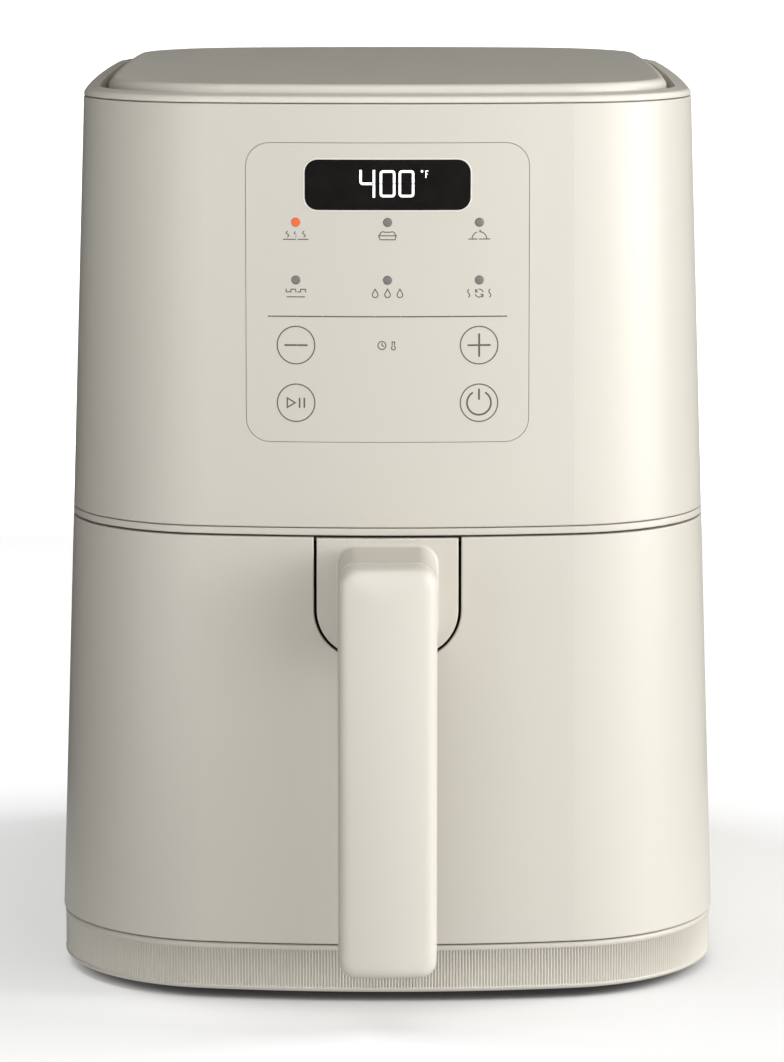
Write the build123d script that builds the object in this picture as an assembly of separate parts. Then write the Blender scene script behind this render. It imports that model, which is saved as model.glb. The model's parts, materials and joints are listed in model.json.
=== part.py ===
from build123d import *
from math import cos, hypot, pi, radians, sin, sqrt, tan
import os

# Slim basket air fryer as an assembly of separate parts.
# Millimetres, +Z up, front faces -Y, +X to the right seen from the front.
# Origin: on the resting surface, under the centre of the overall box.

# ---------------------------------------------------------------- driving dimensions

# Plan outline of the body at the bottom seam: a front arc, two corner arcs, two nearly
# straight side arcs, and the same again at the rear.
BODY_HALF_WIDTH = 118.0
BODY_DEPTH = 320.0
FRONT_RADIUS = 390.0
CORNER_RADIUS = 62.0
SIDE_RADIUS = 3100.0
LEAN = tan(radians(2.0))  # every wall leans inward by this much per mm of height
WALL = 2.6

HANDLE_REACH = 44.0  # handle face ahead of the body front
VENT_REACH = 4.0  # rear vent cover behind the body rear
Y_FRONT = -(HANDLE_REACH + BODY_DEPTH + VENT_REACH) / 2 + HANDLE_REACH
Y_REAR = Y_FRONT + BODY_DEPTH
Y_SPLIT = Y_FRONT + 78.0  # drawer front wraps the corners as far as this

# Heights
Z_BASE = 3.0  # underside of the base ring, above the feet
Z_SEAM = 20.0  # seam between base ring and drawer
SEAM_GAP = 0.35
Z_DRAWER_TOP = 162.2
Z_PLATE_TOP = 161.9
Z_DECK = 160.4
Z_TRIM = 162.9
Z_TRIM_TOP = 165.3
Z_UPPER = 165.6
Z_CROWN = 310.0
Z_CROWN_EDGE = 312.2
Z_CROWN_TOP = 313.2
Z_TOP = 316.0
EDGE_RADIUS = 0.5  # on every outer edge along a seam

CROWN_WIDTH = 5.5
LID_INSET = 8.5
LID_CORNER = CORNER_RADIUS + 5.0
LID_ROUNDING = 3.0
LEDGE_Z = 303.0  # ledge inside the crown that the lid stands on

# Rear vent and mains gland
VENT_Z = 225.0
VENT_WIDTH = 120.0
VENT_HEIGHT = 56.0
VENT_SCREWS = [(x, VENT_Z) for x in (-55.0, 55.0)]
LOUVRES = 7
LOUVRE_PITCH = 6.4
LOUVRE_HEIGHT = 3.2
GLAND_X = 58.0
GLAND_Z = 46.0
GLAND_BORE = 3.7
GLAND_STEM = 5.4
GLAND_COLLAR = 9.0

# Base
BASE_BOSSES = [(x, Y_FRONT + y) for x in (-70.0, 70.0) for y in (85.0, 250.0)]
FEET = [(x, Y_FRONT + y) for x in (-78.0, 78.0) for y in (52.0, 268.0)]
FOOT_RADIUS = 9.0
BASE_PLATE_Z = 4.0
BASE_PLATE_TOP = 6.5
BOSS_TOP = 16.0
RIM_RADIUS = 2.2

# Bores and posts for the self-tapping screws
SCREW_HOLE = 1.7
HEAD_HOLE = 3.4

# Control panel on the curved front
PANEL_Z = 245.9
PANEL_WIDTH = 96.3
PANEL_HEIGHT = 101.6
PANEL_CORNER = 8.0
PANEL_THICK = 1.2
DISPLAY_Z = 282.6
DISPLAY_WIDTH = 56.4
DISPLAY_HEIGHT = 17.1
DISPLAY_CORNER = 4.4
KEY_PITCH_X = 31.2
LIGHT_ROWS = (269.9, 250.3)
KEY_ROWS = (228.1, 208.4)
LIGHT_RADIUS = 1.45
LIGHTS = [(column * KEY_PITCH_X, z) for z in LIGHT_ROWS for column in (-1, 0, 1)]
KEYS = [(side * KEY_PITCH_X, z) for z in KEY_ROWS for side in (-1, 1)] + [(0.0, KEY_ROWS[0])]
HOLE_CLEARANCE = 0.1

# Electronics
BOARD_Y = Y_FRONT + 24.0
BOARD_THICK = 1.6
BOARD_POSTS = [(x, z) for x in (-40.0, 40.0) for z in (200.5, 293.5)]
BRACKET_TOP = 283.5
STANDOFF = 3.5

# Heater and fan axis
HEAT_Y = Y_FRONT + 156.0
SHIELD_TOP = 211.0
BRACKET_POSTS = [(x, HEAT_Y + y) for x in (-70.0, 70.0) for y in (-20.0, 86.0)]
POWER_POSTS = [(x, HEAT_Y + y) for x in (-60.0, 60.0) for y in (-10.0, 76.0)]

# Oven
LINER_HALF = 103.0
LINER_REAR = Y_FRONT + 281.0
BEZEL_Y = Y_FRONT + 60.0
BEZEL_THICK = 3.0
SWITCH_X = 30.0
SWITCH_Y = Y_FRONT + 28.0
PLUNGER_RADIUS = 1.9
SENSOR_Y = HEAT_Y - 98.0
SENSOR_RADIUS = 2.0

# Heating element: two turns, with both ends bent up to the terminals
ELEMENT_Z = 175.0
ELEMENT_RADIUS = 3.2
ELEMENT_PITCH = 9.0
ELEMENT_INNER = 66.0
ELEMENT_BEND = 9.0
ELEMENT_TOP = 217.0
TERMINALS = [(ELEMENT_INNER, -ELEMENT_BEND), (-ELEMENT_INNER - ELEMENT_PITCH, -ELEMENT_BEND)]
TERMINAL_HOLE = 4.5

# Handle
PLATE_HALF_WIDTH = 24.3
PLATE_BOTTOM = 121.2
PLATE_CORNER = 15.8
PLATE_GAP = 1.0
GRIP_WIDTH = 33.3
GRIP_BOTTOM = 18.8
GRIP_TOP = 159.0
GRIP_DEPTH = 17.0
GRIP_CORNER = 6.0
GRIP_CROWN = 80.0  # radius of the face across
GRIP_ROUNDING = 4.2
GRIP_BROW = 13.0  # height over which the top of the face curves back
BROW_RADIUS = 42.0
NECK_HEIGHT = 34.0
NECK_FILLET = 1.2  # where the neck grows out of the plate
GRIP_FACE = Y_FRONT - HANDLE_REACH
GRIP_BACK = GRIP_FACE + GRIP_DEPTH
COVER_THICK = 3.0
POCKET_WALL = 3.0
HANDLE_SCREWS = [(x, z) for x in (-9.0, 9.0) for z in (131.0, 144.0)]

# Drawer
INNER_PANEL_Y = Y_FRONT + 22.0
INNER_PANEL_THICK = 3.0

# Pan and its travel
PAN_Y = Y_FRONT + 148.0
PAN_FLOOR = 22.0
PAN_RIM = 150.0
PAN_SHEET = 1.2
PAN_WIDTH = 192.0
PAN_DEPTH = 235.0
PAN_DRAFT = 0.027
PAN_CORNER = 46.0
PAN_SCREWS = [(x, z) for x in (-35.0, 35.0) for z in (75.0, 115.0)]

# Tray
TRAY_Z = 37.0
TRAY_SHEET = 1.5
TRAY_SKIRT = 6.0
TRAY_HALF_X = 88.0
TRAY_HALF_Y = 109.0
TRAY_CORNER = 38.0
TRAY_LEG_X = 58.0
TRAY_LEG_Y = 78.0
HOLE_PITCH = 15.0
HOLE_RADIUS = 3.5
FINGER_HOLE = 10.0

# Motor and fans
MOTOR_Z = 224.0
STATOR_Z = (228.0, 256.0)
CAP_THICK = 4.0
MOTOR_SCREWS = [(x, HEAT_Y + y) for x in (-27.0, 27.0) for y in (-12.0, 12.0)]
SHAFT_RADIUS = 3.0
BEARING_CLEARANCE = 0.05
BEARING_RADIUS = 8.0
ROTOR_RADIUS = 19.0
STATOR_BORE = 19.6
STATOR_RADIUS = 34.0

os.makedirs("parts", exist_ok=True)


# ---------------------------------------------------------------- helpers


def save(name, shape):
    """Write one node."""
    export_step(shape, os.path.join("parts", name + ".step"))


def slab(x0, x1, y0, y1, z0, z1):
    """Box between two corners."""
    return Pos((x0 + x1) / 2, (y0 + y1) / 2, (z0 + z1) / 2) * Box(x1 - x0, y1 - y0, z1 - z0)


def rod(x, y, z0, z1, radius):
    """Upright cylinder."""
    return Pos(x, y, (z0 + z1) / 2) * Cylinder(radius, z1 - z0)


def rod_x(y, z, x0, x1, radius):
    """Cylinder along X."""
    return Pos((x0 + x1) / 2, y, z) * Rot(0, 90, 0) * Cylinder(radius, x1 - x0)


def rod_y(x, z, y0, y1, radius):
    """Cylinder along Y."""
    return Pos(x, (y0 + y1) / 2, z) * Rot(90, 0, 0) * Cylinder(radius, y1 - y0)


def tube(x, y, z0, z1, outer, inner):
    """Upright ring."""
    return rod(x, y, z0, z1, outer) - rod(x, y, z0 - 1, z1 + 1, inner)


def rounded_z(y, width, depth, corner, z0, z1):
    """Upright rounded rectangle on the centre line."""
    return extrude(Pos(0, y, z0) * RectangleRounded(width, depth, corner), z1 - z0)


def rounded_y(x, z, width, height, corner, y0, y1):
    """Rounded rectangle seen from the front, extruded along Y."""
    face = extrude(RectangleRounded(width, height, corner), y1 - y0)
    return Pos(x, y1, z) * Rot(90, 0, 0) * face


MID_Y = Y_FRONT + BODY_DEPTH / 2
FRONT_CENTRE = (0.0, Y_FRONT + FRONT_RADIUS)
SIDE_CENTRE = (BODY_HALF_WIDTH - SIDE_RADIUS, MID_Y)


def corner_centre(corner):
    """Centre of the front right corner arc, which is tangent to the front and side arcs."""
    (fx, fy), fr = FRONT_CENTRE, FRONT_RADIUS - corner
    (sx, sy), sr = SIDE_CENTRE, SIDE_RADIUS - corner
    gap = hypot(sx - fx, sy - fy)
    along = (fr**2 - sr**2 + gap**2) / (2 * gap)
    across = sqrt(fr**2 - along**2)
    ux, uy = (sx - fx) / gap, (sy - fy) / gap
    return fx + along * ux - across * uy, fy + along * uy + across * ux


def reach(centre, radius, towards):
    """Point at radius from centre, in the direction of another point."""
    dx, dy = towards[0] - centre[0], towards[1] - centre[1]
    size = hypot(dx, dy)
    return centre[0] + radius * dx / size, centre[1] + radius * dy / size


def outline(inset, z=0.0, corner=CORNER_RADIUS):
    """Plan outline, moved inward by inset, as a face at height z."""
    centre = corner_centre(corner)
    on_front = reach(FRONT_CENTRE, FRONT_RADIUS - inset, centre)
    on_side = reach(SIDE_CENTRE, SIDE_RADIUS - inset, centre)
    chord = ((on_front[0] + on_side[0]) / 2, (on_front[1] + on_side[1]) / 2)
    on_corner = reach(centre, corner - inset, chord)

    def place(point, sx, sy):
        return sx * point[0], MID_Y + sy * (point[1] - MID_Y)

    edges = []
    for sy in (1, -1):
        middle = place((0.0, Y_FRONT + inset), 1, sy)
        edges.append(ThreePointArc(place(on_front, -1, sy), middle, place(on_front, 1, sy)))
        for sx in (1, -1):
            ends = place(on_front, sx, sy), place(on_side, sx, sy)
            edges.append(ThreePointArc(ends[0], place(on_corner, sx, sy), ends[1]))
    for sx in (1, -1):
        middle = (sx * (BODY_HALF_WIDTH - inset), MID_Y)
        edges.append(ThreePointArc(place(on_side, sx, 1), middle, place(on_side, sx, -1)))
    return Pos(0, 0, z) * make_face(Wire(edges))


def lean(z):
    """How far the wall has moved inward at height z."""
    return (z - Z_SEAM) * LEAN


def block(z0, z1, inset=0.0):
    """Solid body of the fryer between two heights, with its lean."""
    return loft([outline(inset + lean(z0), z0), outline(inset + lean(z1), z1)], ruled=True)


def rounded_block(z0, z1, radius=EDGE_RADIUS):
    """Solid body between two heights, with its top and bottom edges rounded."""
    solid = block(z0, z1)
    for z in (z0, z1):
        solid = fillet(solid.edges().filter_by_position(Axis.Z, z - 0.1, z + 0.1), radius)
    return solid


def prism(z0, z1, inset, corner=CORNER_RADIUS):
    """Straight-sided slice of the plan outline."""
    return extrude(outline(inset, z0, corner), z1 - z0)


def shell(z0, z1, wall=WALL, inset=0.0):
    """Leaning wall, open at both ends."""
    return block(z0, z1, inset) - block(z0 - 1, z1 + 1, inset + wall)


def rounded_shell(z0, z1):
    """Leaning wall with its outer edges rounded."""
    return rounded_block(z0, z1) - block(z0 - 1, z1 + 1, WALL)


def on_skin(shape, z0, z1, half):
    """Edges of a shape on the outer face of the front wall, clear of its top and bottom."""
    found = []
    for edge in shape.edges():
        middle = edge @ 0.5
        radius = hypot(middle.X, middle.Y - Y_FRONT - FRONT_RADIUS)
        level = abs(radius - FRONT_RADIUS + lean(middle.Z)) < 0.2
        if level and abs(middle.X) < half and z0 < middle.Z < z1:
            found.append(edge)
    return found


def band(z0, z1, outer, inner):
    """Straight-sided ring between two insets."""
    return prism(z0, z1, outer) - prism(z0 - 1, z1 + 1, inner)


def join(pieces):
    """Union of a list."""
    result = pieces[0]
    for piece in pieces[1:]:
        result = result + piece
    return result


def group(pieces):
    """Separate solids in one node."""
    return Compound(children=[solid for piece in pieces for solid in piece.solids()])


def screw(x, y, z0, z1, up=1, shank=1.6, head=3.2, head_height=2.0):
    """Pan head screw along Z with its head at z0; up is the direction of the shank."""
    cap = rod(x, y, min(z0, z0 + up * head_height), max(z0, z0 + up * head_height), head)
    stem = rod(x, y, min(z0, z1), max(z0, z1), shank)
    slot = Pos(x, y, z0) * Box(2 * head, 0.8, 1.2)
    return cap + stem - slot


def screw_y(x, z, y0, y1, shank=1.6, head=3.2, head_height=2.0):
    """Pan head screw along Y with its head at y0 and its tip at y1."""
    step = head_height if y1 > y0 else -head_height
    cap = rod_y(x, z, min(y0, y0 + step), max(y0, y0 + step), head)
    stem = rod_y(x, z, min(y0, y1), max(y0, y1), shank)
    slot = Pos(x, y0, z) * Box(2 * head, 1.2, 0.8)
    return cap + stem - slot


# ---------------------------------------------------------------- casing


def front_window(grow, y1=Y_FRONT + 60):
    """Rounded window of the control panel, grown on every side."""
    size = (PANEL_WIDTH + 2 * grow, PANEL_HEIGHT + 2 * grow)
    return rounded_y(0, PANEL_Z, *size, PANEL_CORNER + grow, Y_FRONT - 10, y1)


def display_hole(grow):
    """Rounded window of the display, grown on every side."""
    size = (DISPLAY_WIDTH + 2 * grow, DISPLAY_HEIGHT + 2 * grow)
    return rounded_y(0, DISPLAY_Z, *size, DISPLAY_CORNER + grow, Y_FRONT - 10, Y_FRONT + 60)


def make_upper_housing():
    """Upper shell with the panel recess, display opening, vent opening and board posts."""
    z0, z1 = Z_UPPER, Z_CROWN - SEAM_GAP / 2
    body = rounded_shell(z0, z1)
    recess = block(z0, z1) - block(z0 - 1, z1 + 1, PANEL_THICK + 0.05)
    body -= recess & front_window(0.2)
    body -= rounded_y(0, DISPLAY_Z, DISPLAY_WIDTH - 6, DISPLAY_HEIGHT - 5, 2, Y_FRONT - 5, Y_FRONT + 40)
    for x, z in LIGHTS:
        body -= rod_y(x, z, Y_FRONT - 5, Y_FRONT + 40, LIGHT_RADIUS + HOLE_CLEARANCE)
    body -= rounded_y(0, VENT_Z, VENT_WIDTH - 20, VENT_HEIGHT - 12, 4, Y_REAR - 30, Y_REAR + 10)
    posts = join([rod_y(x, z, Y_FRONT + 4, BOARD_Y, 3.0) for x, z in BOARD_POSTS])
    for x, z in BOARD_POSTS:
        posts -= rod_y(x, z, BOARD_Y - 7, BOARD_Y + 1, 1.25)
    return body + (posts & block(z0, z1, WALL - 0.5))


def make_rear_vent_cover():
    """Louvred cover that also keeps the fryer off a wall."""
    cover = rounded_y(0, VENT_Z, VENT_WIDTH, VENT_HEIGHT, 8, Y_REAR - 20, Y_REAR + VENT_REACH)
    cover = fillet(cover.faces().sort_by(Axis.Y)[-1].edges(), 2.5)
    hollow = (VENT_WIDTH - 16, VENT_HEIGHT - 8, 5)
    cover -= rounded_y(0, VENT_Z, *hollow, Y_REAR - 30, Y_REAR + VENT_REACH - 2.4)
    for step in range(LOUVRES):
        z = VENT_Z + LOUVRE_PITCH * (step - (LOUVRES - 1) / 2)
        slit = (VENT_WIDTH - 22, LOUVRE_HEIGHT, LOUVRE_HEIGHT / 2 - 0.05)
        cover -= rounded_y(0, z, *slit, Y_REAR - 30, Y_REAR + 20)
    for x, z in VENT_SCREWS:
        cover -= rod_y(x, z, Y_REAR - 30, Y_REAR + 20, SCREW_HOLE)
        cover -= rod_y(x, z, Y_REAR + 1.0, Y_REAR + 20, HEAD_HOLE)
    return cover - block(VENT_Z - 60, VENT_Z + 60)


def make_crown_ring():
    """Rounded bead above the top seam that rises inward, with a skirt and the ledge under the lid."""
    edge = lean(Z_CROWN) + 0.1
    z0 = Z_CROWN + SEAM_GAP / 2
    bead = prism(z0, Z_CROWN_EDGE, edge)
    bead += loft([outline(edge, Z_CROWN_EDGE), outline(edge + CROWN_WIDTH, Z_CROWN_TOP)], ruled=True)
    bead = fillet(bead.edges().filter_by_position(Axis.Z, Z_CROWN_EDGE - 0.1, Z_CROWN_EDGE + 0.1), 1.6)
    bead = fillet(bead.edges().filter_by_position(Axis.Z, z0 - 0.1, z0 + 0.1), 0.3)
    bead -= prism(z0 - 1, Z_CROWN_TOP + 1, edge + CROWN_WIDTH)
    skirt = band(LEDGE_Z, z0 + 0.5, edge + 3.0, edge + CROWN_WIDTH)
    ledge = band(LEDGE_Z, LEDGE_Z + 2.0, edge + 3.0, edge + 18.0)
    return bead + skirt + ledge


def make_top_lid():
    """Raised lid with a rounded edge, hollow below."""
    edge = lean(Z_CROWN) + LID_INSET
    lid = prism(LEDGE_Z + 2.0, Z_TOP, edge, LID_CORNER)
    lid = fillet(lid.faces().sort_by(Axis.Z)[-1].edges(), LID_ROUNDING)
    return lid - prism(LEDGE_Z, Z_TOP - 2.4, edge + 3.4, LID_CORNER)


def make_waist_trim():
    """Thin band between the drawer and the upper housing, with a flange and a locating tongue."""
    trim = rounded_block(Z_TRIM, Z_TRIM_TOP) - prism(Z_TRIM - 1, Z_TRIM_TOP + 1, lean(Z_TRIM) + 9)
    tongue = shell(Z_TRIM_TOP - 0.5, 171.0, 1.8, WALL + 0.2)
    return trim + tongue


def make_lower_housing():
    """Sides and rear of the lower body, behind the drawer front."""
    body = rounded_shell(Z_SEAM + SEAM_GAP, Z_DRAWER_TOP)
    body &= slab(-200, 200, Y_SPLIT + 0.4, Y_REAR + 5, 0, 200)
    return body - rod_y(GLAND_X, GLAND_Z, Y_REAR - 40, Y_REAR + 10, GLAND_STEM + 0.05)


def make_base_ring():
    """Base band: a plain lip, a shallow recess for the ribs and a rounded lower rim."""
    ring = prism(Z_BASE, Z_SEAM, 0.5)
    ring = fillet(ring.faces().sort_by(Axis.Z)[0].edges(), RIM_RADIUS)
    ring = fillet(ring.faces().sort_by(Axis.Z)[-1].edges(), EDGE_RADIUS)
    ring -= band(Z_SEAM - 15.2, Z_SEAM - 2.1, -5.0, 0.9)
    ring -= prism(Z_BASE - 1, Z_SEAM + 1, 3.6)
    tongue = band(Z_SEAM - 3, Z_SEAM + 4, 3.4, 5.2)
    return ring + (tongue & slab(-200, 200, Y_SPLIT + 4, Y_REAR + 5, 0, 60))


def make_base_plate():
    """Floor plate with vent slots and four bosses under the chamber."""
    plate = prism(BASE_PLATE_Z, BASE_PLATE_TOP, 3.8)
    for x, y in BASE_BOSSES:
        plate += rod(x, y, BASE_PLATE_TOP - 0.5, BOSS_TOP, 5.0)
    for x, y in BASE_BOSSES:
        plate -= rod(x, y, BASE_PLATE_Z - 1, BOSS_TOP + 1, SCREW_HOLE)
        plate -= rod(x, y, BASE_PLATE_Z - 1, BASE_PLATE_Z + 2, HEAD_HOLE)
    for row in range(-5, 6):
        y = MID_Y + 14.0 * row
        plate -= rounded_z(y, 84, 5, 2.4, 3, 7)
    return plate


def make_mains_gland():
    """Rubber bush in the rear wall where the mains lead enters."""
    stem = rod_y(GLAND_X, GLAND_Z, Y_REAR - 20, Y_REAR + 3, GLAND_STEM)
    collar = rod_y(GLAND_X, GLAND_Z, Y_REAR - 12, Y_REAR + 1.2, GLAND_COLLAR) - block(Z_SEAM, 90)
    bush = stem + collar
    return bush - rod_y(GLAND_X, GLAND_Z, Y_REAR - 40, Y_REAR + 10, GLAND_BORE)


def make_feet():
    """Four rubber feet under the base plate."""
    feet = []
    for x, y in FEET:
        foot = rod(x, y, 0, BASE_PLATE_Z, FOOT_RADIUS)
        feet.append(fillet(foot.edges().sort_by(Axis.Z)[0], 0.8))
    return group(feet)


save("upper_housing", make_upper_housing())
save("rear_vent_cover", make_rear_vent_cover())
save("crown_ring", make_crown_ring())
save("top_lid", make_top_lid())
save("waist_trim", make_waist_trim())
save("lower_housing", make_lower_housing())
save("base_ring", make_base_ring())
save("base_plate", make_base_plate())
save("mains_gland", make_mains_gland())
save("feet", make_feet())
save("base_screws", group([screw(x, y, BASE_PLATE_Z, BOSS_TOP - 0.2) for x, y in BASE_BOSSES]))
save("vent_screws", group([screw_y(x, z, Y_REAR + 3.0, Y_REAR - 8.0) for x, z in VENT_SCREWS]))


# ---------------------------------------------------------------- controls


def around_panel(inset):
    """Body of the fryer at the height of the panel, moved inward by inset."""
    margin = PANEL_HEIGHT / 2 + 10
    return block(PANEL_Z - margin - inset, PANEL_Z + margin + inset, inset)


def panel_skin():
    """Outer layer of the front, as thick as the panel."""
    return around_panel(0) - around_panel(PANEL_THICK)


def make_control_panel():
    """Flush insert on the curved front, with holes for the display and the lights."""
    panel = panel_skin() & front_window(0.0)
    panel -= display_hole(HOLE_CLEARANCE)
    for x, z in LIGHTS:
        panel -= rod_y(x, z, Y_FRONT - 5, Y_FRONT + 40, LIGHT_RADIUS + HOLE_CLEARANCE)
    return panel


def make_display_window():
    """Tinted cover of the display."""
    return panel_skin() & display_hole(0.0)


def make_indicator_lights():
    """Six light guides from the panel face to the board."""
    front = around_panel(0)
    return group([rod_y(x, z, Y_FRONT - 5, BOARD_Y, LIGHT_RADIUS) & front for x, z in LIGHTS])


def make_touch_springs():
    """Sensing springs between the board and the inside of the wall, one behind each key."""
    inside = around_panel(WALL + 0.2)
    springs = []
    for x, z in KEYS:
        spring = rod_y(x, z, Y_FRONT, BOARD_Y, 4.2) - rod_y(x, z, Y_FRONT - 5, BOARD_Y + 5, 3.4)
        springs.append(spring & inside)
    return group(springs)


def make_display_module():
    """Light box of the display, between wall and board."""
    size = (DISPLAY_WIDTH - 8.4, DISPLAY_HEIGHT - 5.7)
    return rounded_y(0, DISPLAY_Z, *size, 1, Y_FRONT, BOARD_Y) & around_panel(WALL + 0.2)


def make_control_board():
    """Circuit board behind the panel, with its main chips."""
    back = BOARD_Y + BOARD_THICK
    board = rounded_y(0, PANEL_Z + 1.1, 92, 99, 2, BOARD_Y, back)
    for x, z in BOARD_POSTS:
        board -= rod_y(x, z, BOARD_Y - 2, BOARD_Y + 4, 1.8)
    board += slab(-8, 8, back, back + 1.6, 232, 248)
    board += slab(14, 24, back, back + 1.4, 214, 220)
    board += slab(-30, -14, back, back + 6.0, 206, 212)
    return board


def make_board_screws():
    """Screws through the control board into the posts of the housing."""
    head = BOARD_Y + BOARD_THICK + 2.0
    return group([screw_y(x, z, head, BOARD_Y - 5.0, 1.2, 2.6) for x, z in BOARD_POSTS])


def make_board_standoffs():
    """Spacers between the bracket and the power board."""
    top = BRACKET_TOP + STANDOFF
    return group([tube(x, y, BRACKET_TOP, top, 3.0, 1.5) for x, y in POWER_POSTS])


def make_power_board():
    """Circuit board on its spacers."""
    bottom = BRACKET_TOP + STANDOFF
    return rounded_z(HEAT_Y + 33, 132, 98, 3, bottom, bottom + BOARD_THICK)


def make_electronics_bracket():
    """Bridge over the motor that carries the power board."""
    plate = rounded_z(HEAT_Y + 33, 156, 122, 6, BRACKET_TOP - 1.5, BRACKET_TOP)
    for x, y in BRACKET_POSTS:
        plate += rod(x, y, SHIELD_TOP, BRACKET_TOP - 1.0, 4.0)
    return plate - rounded_z(HEAT_Y + 33, 70, 60, 6, BRACKET_TOP - 3, BRACKET_TOP + 1)


def make_power_components():
    """Relay, transformer, filter choke, capacitor and connectors on the power board."""
    top = BRACKET_TOP + STANDOFF + BOARD_THICK
    return group([
        slab(-55, -33, HEAT_Y + 5, HEAT_Y + 21, top, top + 13),
        slab(-24, 6, HEAT_Y + 2, HEAT_Y + 28, top, top + 14),
        rod(26, HEAT_Y + 16, top, top + 12, 9),
        slab(40, 54, HEAT_Y + 6, HEAT_Y + 30, top, top + 9),
        slab(-50, -20, HEAT_Y + 48, HEAT_Y + 58, top, top + 10),
        rod(0, HEAT_Y + 54, top, top + 14, 6.5),
        slab(20, 52, HEAT_Y + 50, HEAT_Y + 60, top, top + 8),
    ])


save("control_panel", make_control_panel())
save("display_window", make_display_window())
save("indicator_lights", make_indicator_lights())
save("touch_springs", make_touch_springs())
save("display_module", make_display_module())
save("control_board", make_control_board())
save("board_screws", make_board_screws())
save("electronics_bracket", make_electronics_bracket())
save("board_standoffs", make_board_standoffs())
save("power_board", make_power_board())
save("power_components", make_power_components())


# ---------------------------------------------------------------- oven


def make_chamber_liner():
    """Steel box around the pan, open at the front and at the top."""
    depth = LINER_REAR - Y_FRONT
    outer = rounded_z(Y_FRONT + depth / 2, 2 * LINER_HALF, depth, 52, 16, Z_DECK)
    inner = rounded_z(Y_FRONT + depth / 2, 2 * LINER_HALF - 2, depth - 2, 51, 17, Z_DECK + 5)
    return (outer - inner) & slab(-200, 200, BEZEL_Y + BEZEL_THICK, LINER_REAR + 5, 0, 200)


def make_front_bezel():
    """Arch that frames the chamber mouth, inside the wings of the drawer front."""
    frame = block(21, Z_DECK, WALL + 0.9) & slab(-200, 200, BEZEL_Y, BEZEL_Y + BEZEL_THICK, 0, 200)
    return frame - slab(1 - LINER_HALF, LINER_HALF - 1, BEZEL_Y - 5, BEZEL_Y + 10, 0, 157.5)


def make_middle_deck():
    """Plate between the pan and the heater, with the air opening and the switch hole."""
    deck = prism(Z_DECK, Z_TRIM, lean(Z_DECK) + WALL + 1.0)
    deck -= rounded_z(HEAT_Y, 180, 215, 60, Z_DECK - 5, Z_TRIM + 5)
    return deck - rod(SWITCH_X, SWITCH_Y, Z_DECK - 5, Z_TRIM + 5, PLUNGER_RADIUS + 0.5)


def make_drawer_rails():
    """Two rails that the rim of the pan slides on."""
    rails = []
    for side in (-1, 1):
        x = sorted((side * 98.0, side * (LINER_HALF - 1)))
        rails.append(slab(*x, BEZEL_Y + 6, Y_FRONT + 225, PAN_RIM - 4.3, PAN_RIM - 0.3))
    return group(rails)


def make_upper_chamber():
    """Reflector box over the heater, open below."""
    box = rounded_z(HEAT_Y, 192, 226, 64, Z_TRIM, 204)
    box -= rounded_z(HEAT_Y, 190, 224, 63, Z_TRIM - 5, 203)
    box -= rod(0, HEAT_Y, 200, 210, 6)
    box -= rod(0, SENSOR_Y, 200, 210, SENSOR_RADIUS + 0.4)
    for x, y in TERMINALS:
        box -= rod(x, HEAT_Y + y, 200, 210, TERMINAL_HOLE)
    return box


def make_heat_shield():
    """Outer cover of the heater chamber, with an air gap."""
    cover = rounded_z(HEAT_Y, 204, 238, 70, Z_TRIM, SHIELD_TOP)
    cover -= rounded_z(HEAT_Y, 202.4, 236.4, 69.2, Z_TRIM - 5, SHIELD_TOP - 0.8)
    cover -= rod(0, HEAT_Y, 205, 215, 8)
    cover -= rod(0, SENSOR_Y, 205, 215, SENSOR_RADIUS + 0.4)
    for x, y in TERMINALS:
        cover -= rod(x, HEAT_Y + y, 205, 215, TERMINAL_HOLE)
    return cover


def make_heating_element():
    """Sheathed element: two turns of half circles, with both ends bent up to the terminals."""
    edges = []
    x, side = ELEMENT_INNER, 1
    bend, up = ELEMENT_BEND, ELEMENT_Z + ELEMENT_BEND
    chord = bend * (1 - cos(pi / 4))
    edges.append(Line((x, HEAT_Y - bend, ELEMENT_TOP), (x, HEAT_Y - bend, up)))
    middle = (x, HEAT_Y - bend * cos(pi / 4), ELEMENT_Z + chord)
    edges.append(ThreePointArc((x, HEAT_Y - bend, up), middle, (x, HEAT_Y, ELEMENT_Z)))
    radius = ELEMENT_INNER
    for _ in range(3):
        centre = x - side * radius
        far = centre - side * radius
        top = (centre, HEAT_Y + side * radius, ELEMENT_Z)
        edges.append(ThreePointArc((x, HEAT_Y, ELEMENT_Z), top, (far, HEAT_Y, ELEMENT_Z)))
        x, side = far, -side
        radius += ELEMENT_PITCH / 2
    end = (x, HEAT_Y, ELEMENT_Z)
    step = side * bend
    middle = (x, HEAT_Y + step * cos(pi / 4), ELEMENT_Z + chord)
    edges.append(ThreePointArc(end, middle, (x, HEAT_Y + step, up)))
    edges.append(Line((x, HEAT_Y + step, up), (x, HEAT_Y + step, ELEMENT_TOP)))
    path = Wire(edges)
    start = Plane(origin=(ELEMENT_INNER, HEAT_Y - bend, ELEMENT_TOP), z_dir=(0, 0, -1))
    return sweep(start * Circle(ELEMENT_RADIUS), path=path)


def make_element_clips():
    """Three hangers between the reflector and the element."""
    clips = []
    for angle in (60, 210, 300):
        c, s = cos(radians(angle)), sin(radians(angle))
        clips.append(Pos(88 * c, HEAT_Y + 88 * s, 191) * Rot(0, 0, angle) * Box(1.0, 8, 24))
    return group(clips)


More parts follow.
